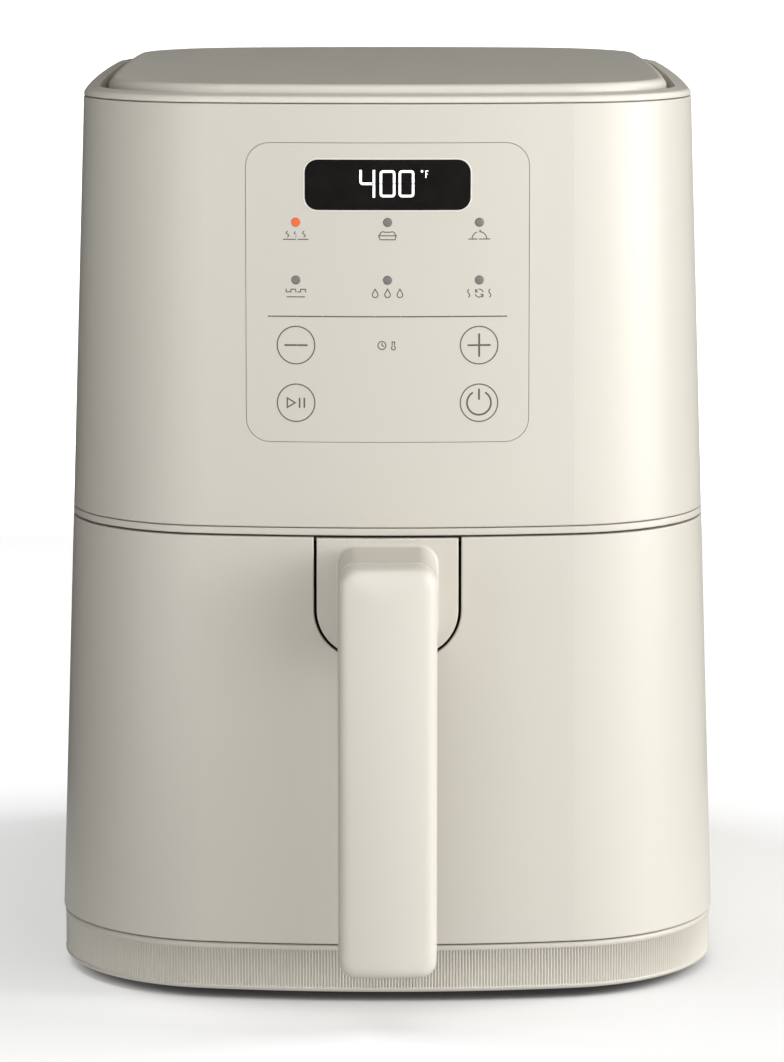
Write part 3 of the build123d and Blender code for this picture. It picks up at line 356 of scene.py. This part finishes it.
def floor_paint():
    material, tree, shader = new_material("floor_paint")
    grain = noise(tree, 3.0, 3.0)
    tree.links.new(ramp(tree, grain, (0.86, 0.86, 0.86), (0.9, 0.9, 0.9)), shader.inputs["Base Color"])
    shader.inputs["Roughness"].default_value = 0.95
    shader.inputs["Specular IOR Level"].default_value = 0.1
    return material


BODY_COLOUR = (0.665, 0.635, 0.56)

MATERIALS = {
    "body_plastic": moulded("body_plastic", BODY_COLOUR),
    # the grip is the body colour painted 6 % lighter: painted light for the brighter light that falls on the
    # grip
    "handle_plastic": moulded("handle_plastic", shade(BODY_COLOUR, 1.06), rough=0.34),
    "panel_plastic": moulded("panel_plastic", BODY_COLOUR, rough=0.35, grain=3200.0, depth=0.00002),
    "base_plastic": moulded("base_plastic", shade(BODY_COLOUR, 0.98), rough=0.38),
    "black_plastic": moulded("black_plastic", (0.018, 0.018, 0.018), rough=0.5, spread=0.2),
    "grey_plastic": moulded("grey_plastic", (0.16, 0.16, 0.16), rough=0.5, spread=0.08),
    "light_guide": moulded("light_guide", (0.20, 0.19, 0.175), rough=0.3, grain=1500.0),
    "board": moulded("board", (0.012, 0.09, 0.03), rough=0.3, grain=900.0, spread=0.25, coat=0.4),
    "window": glossy_black("window", (0.012, 0.010, 0.010)),
    "rubber": rubber("rubber", (0.025, 0.025, 0.025)),
    "silicone": rubber("silicone", (0.12, 0.12, 0.12), rough=0.6),
    "steel": metal("steel", (0.50, 0.49, 0.47)),
    "aluminised": metal("aluminised", (0.66, 0.66, 0.65), rough=0.34, stretch=(1.0, 8.0, 1.0)),
    "zinc": metal("zinc", (0.56, 0.56, 0.54), rough=0.38, scale=400.0, stretch=(1.0, 1.0, 1.0)),
    "brass": metal("brass", (0.62, 0.43, 0.16), rough=0.3, scale=400.0),
    "element": metal(
        "element", (0.12, 0.11, 0.105), rough=0.45, scale=300.0, stretch=(1.0, 1.0, 1.0), spread=0.25
    ),
    "laminations": metal("laminations", (0.20, 0.20, 0.21), rough=0.42, stretch=(0.1, 0.1, 30.0), scale=60.0),
    "printing": moulded("printing", (0.10, 0.092, 0.077), rough=0.5),
    # pale rim around the display: a painted highlight, lighter than the body
    "painted_highlight_rim": moulded("painted_highlight_rim", (0.83, 0.80, 0.74), rough=0.35),
    "figures": glowing("figures", (1.0, 1.0, 1.0), 1.2),
    "lamp": glowing("lamp", (0.80, 0.115, 0.012), 0.3),
    "nonstick": speckled("nonstick", (0.013, 0.013, 0.014), (0.12, 0.12, 0.12)),
}


# ---------------------------------------------------------------- mesh helpers


def make_piece(name, verts, faces, body, material, smooth=True):
    """Closed mesh that rides on a body, with its normals turned outward."""
    mesh = bpy.data.meshes.new(name)
    mesh.from_pydata(verts, [], faces)
    shape = bmesh.new()
    shape.from_mesh(mesh)
    bmesh.ops.recalc_face_normals(shape, faces=shape.faces)
    shape.to_mesh(mesh)
    shape.free()
    mesh.polygons.foreach_set("use_smooth", [smooth] * len(mesh.polygons))
    mesh.materials.append(material)
    piece = bpy.data.objects.new(name, mesh)
    bpy.context.scene.collection.objects.link(piece)
    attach(piece, body)
    return piece


def arc(cx, cz, radius, start, end, steps=24):
    """Points along an arc in the plane of the panel, angles in degrees from the right."""
    points = []
    for k in range(steps + 1):
        a = math.radians(start + (end - start) * k / steps)
        points.append((cx + radius * math.cos(a), cz + radius * math.sin(a)))
    return points


def refine(path, step):
    """The same path with no gap between points longer than a step."""
    points = [path[0]]
    for (x0, z0), (x1, z1) in zip(path, path[1:]):
        count = max(1, math.ceil(math.hypot(x1 - x0, z1 - z0) / step))
        points += [(x0 + (x1 - x0) * k / count, z0 + (z1 - z0) * k / count) for k in range(1, count + 1)]
    return points


def stroke_sections(path, width, closed, round_ends):
    """Left and right points of a stroke of a given width along a path."""
    points = refine(path + path[:1] if closed else path, 1.2)
    if closed:
        points = points[:-1]
    count = len(points)
    half = width / 2
    sections = []
    for k, (x, z) in enumerate(points):
        before = points[k - 1] if closed or k else None
        after = points[(k + 1) % count] if closed or k < count - 1 else None
        steps = []
        if before:
            steps.append(Vector((x - before[0], z - before[1])).normalized())
        if after:
            steps.append(Vector((after[0] - x, after[1] - z)).normalized())
        along = sum(steps, Vector((0.0, 0.0))).normalized()
        reach = half / max(0.5, along.dot(steps[0]))
        sections.append((x, z, along, reach))
    if round_ends and not closed:
        (x0, z0, t0, _), (x1, z1, t1, _) = sections[0], sections[-1]
        bends = [math.radians(a) for a in (25, 50, 75)]
        first, last = [], []
        for a in bends:
            out, reach = half * math.sin(a), half * math.cos(a)
            first.insert(0, (x0 - t0.x * out, z0 - t0.y * out, t0, reach))
            last.append((x1 + t1.x * out, z1 + t1.y * out, t1, reach))
        sections = first + sections + last
    return [((x - t.y * r, z + t.x * r), (x + t.y * r, z - t.x * r)) for x, z, t, r in sections]


def draped(strokes, high, low=-0.05):
    """Vertices and faces of thin strokes laid on the curved front; sizes in millimetres."""
    verts, faces = [], []
    for path, width, closed, round_ends in strokes:
        start = len(verts)
        sections = stroke_sections(path, width, closed, round_ends)
        for left, right in sections:
            for (x, z), out in ((left, low), (right, low), (right, high), (left, high)):
                verts.append((x * MM, front_y(x * MM, z * MM, out * MM), z * MM))
        count = len(sections)
        for k in range(count if closed else count - 1):
            a, b = start + 4 * k, start + 4 * ((k + 1) % count)
            for j in range(4):
                faces.append((a + j, a + (j + 1) % 4, b + (j + 1) % 4, b + j))
        if not closed:
            last = start + 4 * (count - 1)
            faces.append((start, start + 3, start + 2, start + 1))
            faces.append((last, last + 1, last + 2, last + 3))
    return verts, faces


# ---------------------------------------------------------------- control panel, in millimetres

KEY_X = 31.2
LIGHT_ROWS = (269.9, 250.3)
LABEL_ROWS = (265.4, 245.8)
KEY_ROWS = (228.1, 208.4)
FINE = 0.36


def line(*points, width=FINE):
    return list(points), width, False, True


def loop(points, width=FINE):
    return list(points), width, True, False


def moved(strokes, x, z):
    """Strokes drawn around the origin, moved to a place on the panel."""
    return [([(px + x, pz + z) for px, pz in path], *rest) for path, *rest in strokes]


def steam(x, swing, low, tall, steps=12):
    """One wavy upright stroke of rising air."""
    wave = [(x + swing * math.sin(2 * math.pi * k / steps), low + tall * k / steps) for k in range(steps + 1)]
    return wave, FINE, False, True


def icon_air():
    """Three rising streams of air over a tray."""
    strokes = [line((-4.2, -1.3), (4.2, -1.3))]
    for x in (-2.8, 0.0, 2.8):
        strokes.append(steam(x, 0.45, -0.5, 1.9))
    return strokes


def icon_bake():
    """Loaf in a tin."""
    tin = [(-3.0, 0.0), (-2.5, -1.35), (2.5, -1.35), (3.0, 0.0)]
    top = [(-3.0, 0.0)] + arc(-1.5, 0.25, 1.1, 170, 60, 10) + arc(1.5, 0.25, 1.1, 120, 10, 10) + [(3.0, 0.0)]
    return [line(*tin), line(*top), line((-3.0, 0.0), (3.0, 0.0))]


def icon_roast():
    """Covered dish with a knob."""
    return [
        line((-3.6, -1.2), (3.6, -1.2)),
        line(*arc(0.0, -1.2, 2.5, 0, 180, 20)),
        line(*arc(0.0, 1.62, 0.3, 0, 359, 10)),
    ]


def icon_broil():
    """Grill element above a tray."""
    top, low, step = 1.35, 0.45, 1.65
    zigzag = []
    for k in range(5):
        first, last = (top, low) if k % 2 == 0 else (low, top)
        zigzag += [((k - 2) * step, first), ((k - 2) * step, last)]
    return [line(*zigzag), line((-3.0, -1.25), (3.0, -1.25))]


def icon_dehydrate():
    """Three drops in a row."""
    strokes = []
    for x in (-4.2, 0.0, 4.2):
        drop = [(x, 1.5)] + arc(x, -0.45, 0.95, 35, -215, 18)
        strokes.append(loop(drop))
    return strokes


def icon_reheat():
    """Ring of two arrows beside a steam line."""
    strokes = []
    for turn in (0, 180):
        strokes.append(line(*arc(0.0, 0.0, 1.35, turn + 20, turn + 160, 14)))
        tip = math.radians(turn + 160)
        x, z = 1.35 * math.cos(tip), 1.35 * math.sin(tip)
        side = math.cos(math.radians(turn))
        strokes.append(line((x + 0.75 * side, z - 0.05 * side), (x, z), (x + 0.05 * side, z + 0.8 * side)))
    for x in (-3.6, 3.6):
        strokes.append(steam(x, 0.35, -1.3, 2.6))
    return strokes


def icon_clock_and_thermometer():
    """Clock above, thermometer below."""
    clock = [loop(arc(0, 0, 1.35, 0, 350, 35)), line((0.0, 0.75), (0.0, 0.0), (0.6, -0.3))]
    bulb = [(0.42, -0.35), (0.42, 1.2), (-0.42, 1.2), (-0.42, -0.35)] + arc(0, -0.85, 0.66, 130, 410, 16)
    return moved(clock, -1.9, 0.0) + moved([loop(bulb)], 2.0, 0.0)


def icon_play_pause():
    """Triangle and two bars."""
    return [
        loop([(-3.0, 1.6), (-0.3, 0.0), (-3.0, -1.6)], 0.45),
        line((1.2, 1.5), (1.2, -1.5), width=0.55),
        line((2.8, 1.5), (2.8, -1.5), width=0.55),
    ]


def icon_power():
    """Open ring with an upright bar."""
    return [line(*arc(0, 0, 4.1, 124, 416, 40), width=0.6), line((0, 4.6), (0, 1.3), width=0.65)]


def make_printing():
    """Grey printed marks: key rings, divider and symbols."""
    strokes = [line((-40.6, 237.9), (40.6, 237.9), width=0.42)]
    for x in (-KEY_X, KEY_X):
        for z in KEY_ROWS:
            strokes += moved([loop(arc(0, 0, 6.4, 0, 354, 59), 0.42)], x, z)
    strokes += moved([line((-3.7, 0.0), (3.7, 0.0), width=0.6)], -KEY_X, KEY_ROWS[0])
    plus = [line((-3.7, 0.0), (3.7, 0.0), width=0.6), line((0.0, -3.7), (0.0, 3.7), width=0.68)]
    strokes += moved(plus, KEY_X, KEY_ROWS[0])
    strokes += moved(icon_play_pause(), -KEY_X, KEY_ROWS[1])
    strokes += moved(icon_power(), KEY_X, KEY_ROWS[1])
    strokes += moved(icon_clock_and_thermometer(), 0.0, KEY_ROWS[0])
    upper = (icon_air(), icon_bake(), icon_roast())
    lower = (icon_broil(), icon_dehydrate(), icon_reheat())
    for icons, z in zip((upper, lower), LABEL_ROWS):
        for icon, x in zip(icons, (-KEY_X, 0.0, KEY_X)):
            strokes += moved(icon, x, z)
    verts, faces = draped(strokes, 0.03)
    ink = MATERIALS["printing"]
    make_piece("panel_printing", verts, faces, "housing", ink, smooth=False)


def make_display_mark():
    """Lit figures of the display: 400, with a degree mark and its unit."""
    half_w, half_h, bend, gap, wide = 2.25, 4.15, 0.75, 0.14, 0.8
    corner_up = arc(-half_w + bend, half_h - bend, bend, 180, 90, 6)
    corner_up += arc(half_w - bend, half_h - bend, bend, 90, 0, 6)
    upper = [(-half_w, gap)] + corner_up + [(half_w, gap)]
    zero = [(upper, wide, False, False), ([(x, -z) for x, z in upper], wide, False, False)]
    left = [(-half_w, half_h + 0.5)] + arc(-half_w + bend, bend, bend, 180, 270, 6) + [(half_w - 0.6, 0.0)]
    four = [
        (left, wide, False, False),
        ([(half_w, half_h + 0.5), (half_w, gap)], wide, False, False),
        ([(half_w, -gap), (half_w, -half_h - 0.5)], wide, False, False),
    ]
    strokes = moved(four, -6.87, 283.0) + moved(zero, 0.0, 283.0) + moved(zero, 6.42, 283.0)
    strokes += moved([loop(arc(0, 0, 0.3, 0, 330, 11), 0.22)], 11.7, 287.2)
    unit = [line((0.7, 1.1), (0.0, 1.1), (0.0, -1.1), width=0.3), line((0.0, 0.1), (0.5, 0.1), width=0.28)]
    strokes += moved(unit, 13.0, 286.2)
    verts, faces = draped(strokes, 0.04)
    make_piece("display_figures", verts, faces, "housing", MATERIALS["figures"], smooth=False)


def rounded_path(width, height, corner):
    """Closed rounded rectangle around the origin."""
    points = []
    for sx, sz, a in ((1, 1, 0), (-1, 1, 90), (-1, -1, 180), (1, -1, 270)):
        points += arc(sx * (width / 2 - corner), sz * (height / 2 - corner), corner, a, a + 90, 8)
    return points


def make_display_highlight_rim():
    """Thin pale rim around the display, a painted highlight: its pale colour stands in for the bright edge of
    light round the window.
    """
    path = [(x, z + 282.6) for x, z in rounded_path(56.9, 17.6, 4.65)]
    verts, faces = draped([(path, 0.5, True, False)], 0.10)
    make_piece("display_bezel", verts, faces, "housing", MATERIALS["painted_highlight_rim"])


def make_lens(name, x, z, material):
    """Domed lens in front of a light guide."""
    verts, faces = [], []
    rings, spokes, radius, dome = 5, 28, 1.44, 0.22
    for k in range(rings):
        r = radius * math.cos(math.pi / 2 * k / rings)
        out = 0.04 + dome * math.sin(math.pi / 2 * k / rings)
        for j in range(spokes):
            a = 2 * math.pi * j / spokes
            px, pz = (x + r * math.cos(a)) * MM, (z + r * math.sin(a)) * MM
            verts.append((px, front_y(px, pz, out * MM), pz))
    for k in range(rings - 1):
        for j in range(spokes):
            n = (j + 1) % spokes
            faces.append((k * spokes + j, k * spokes + n, (k + 1) * spokes + n, (k + 1) * spokes + j))
    top = len(verts)
    verts.append((x * MM, front_y(x * MM, z * MM, (0.04 + dome) * MM), z * MM))
    faces += [((rings - 1) * spokes + j, (rings - 1) * spokes + (j + 1) % spokes, top) for j in range(spokes)]
    base = len(verts)
    for j in range(spokes):
        px, _, pz = verts[j]
        verts.append((px, front_y(px, pz, -0.3 * MM), pz))
    for j in range(spokes):
        n = (j + 1) % spokes
        faces.append((j, n, base + n, base + j))
    faces.append(tuple(base + j for j in range(spokes)))
    make_piece(name, verts, faces, "housing", material)


def make_lenses():
    for row, z in enumerate(LIGHT_ROWS):
        for column, x in enumerate((-KEY_X, 0.0, KEY_X)):
            lit = row == 0 and column == 0
            name = f"indicator_lens_{row + 1}{column + 1}"
            make_lens(name, x, z, MATERIALS["lamp" if lit else "light_guide"])


# ---------------------------------------------------------------- ribbed base ring

RIB_PITCH = 0.00107
RIB_DEPTH = 0.0009
RIB_STEPS = 6


def rim_profile():
    """Outer profile of the base ring from the seam down: height, inset and share of rib."""
    lip, top, low, z0, corner = 0.0005, 0.0179, 0.0048, 0.0030, 0.0022
    rows = [(0.0198, lip + 0.0035, 0.0), (0.0198, lip + 0.0005, 0.0), (0.01965, lip + 0.0002, 0.0)]
    rows += [(0.0193, lip, 0.0), (top + 0.0002, lip, 0.0)]
    rows += [(top - 0.0001, lip + 0.0002, 0.4), (top - 0.0003, lip + 0.0002, 1.0)]
    rows += [(low + 0.0003, lip + 0.0002, 1.0), (low + 0.0001, lip + 0.0002, 0.4), (low - 0.0001, lip, 0.0)]
    for k in range(1, 7):
        a = math.pi / 2 * k / 6
        rows.append((low - 0.0001 - (low - 0.0001 - z0) * math.sin(a), lip + corner * (1 - math.cos(a)), 0.0))
    rows.append((z0, lip + 0.0035, 0.0))
    return rows


def make_base_ring():
    """Base band with fine upright ribs all round, in place of the plain CAD ring."""
    stations = []
    for centre, radius, a0, a1 in plan_arcs():
        ribs = max(1, round(radius * (a1 - a0) / RIB_PITCH))
        for k in range(ribs * RIB_STEPS):
            a = a0 + (a1 - a0) * k / (ribs * RIB_STEPS)
            groove = 1.0 - abs(math.sin(math.pi * (k % RIB_STEPS) / RIB_STEPS))
            stations.append((centre, radius, a, groove))
    rows = rim_profile()
    verts, faces = [], []
    for (cx, cy), radius, a, groove in stations:
        for z, inset, share in rows:
            r = radius - inset - RIB_DEPTH * groove * share
            verts.append((cx + r * math.cos(a), cy + r * math.sin(a), z))
    count, height = len(stations), len(rows)
    for k in range(count):
        a, b = k * height, (k + 1) % count * height
        for j in range(height):
            n = (j + 1) % height
            faces.append((a + j, a + n, b + n, b + j))
    ring = make_piece("ribbed_base_ring", verts, faces, "housing", MATERIALS["base_plastic"])
    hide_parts("base_ring")


def paint_nodes():
    """Gives every CAD node the finish of its slot in the record."""
    for row in frame["record"]["subparts"]:
        node = NODES[row["node"]]
        node.data.materials.clear()
        node.data.materials.append(MATERIALS[row["material_slot"]])


def soften_grip():
    """Evens out the ridge where the crown of the grip meets the curved brow at its top."""
    grip = NODES["handle_grip"]
    mesh = grip.modifiers.new("even_mesh", "REMESH")
    mesh.mode = "VOXEL"
    mesh.voxel_size = 0.0006
    mesh.use_smooth_shade = True
    blend = grip.modifiers.new("blend", "SMOOTH")
    blend.factor = 0.5
    blend.iterations = 24


paint_nodes()
soften_grip()
make_printing()
make_display_mark()
make_display_highlight_rim()
make_lenses()
make_base_ring()
make_camera()
stage_floor = make_stage()
make_lights(stage_floor)
bpy.context.scene.view_settings.view_transform = "Standard"
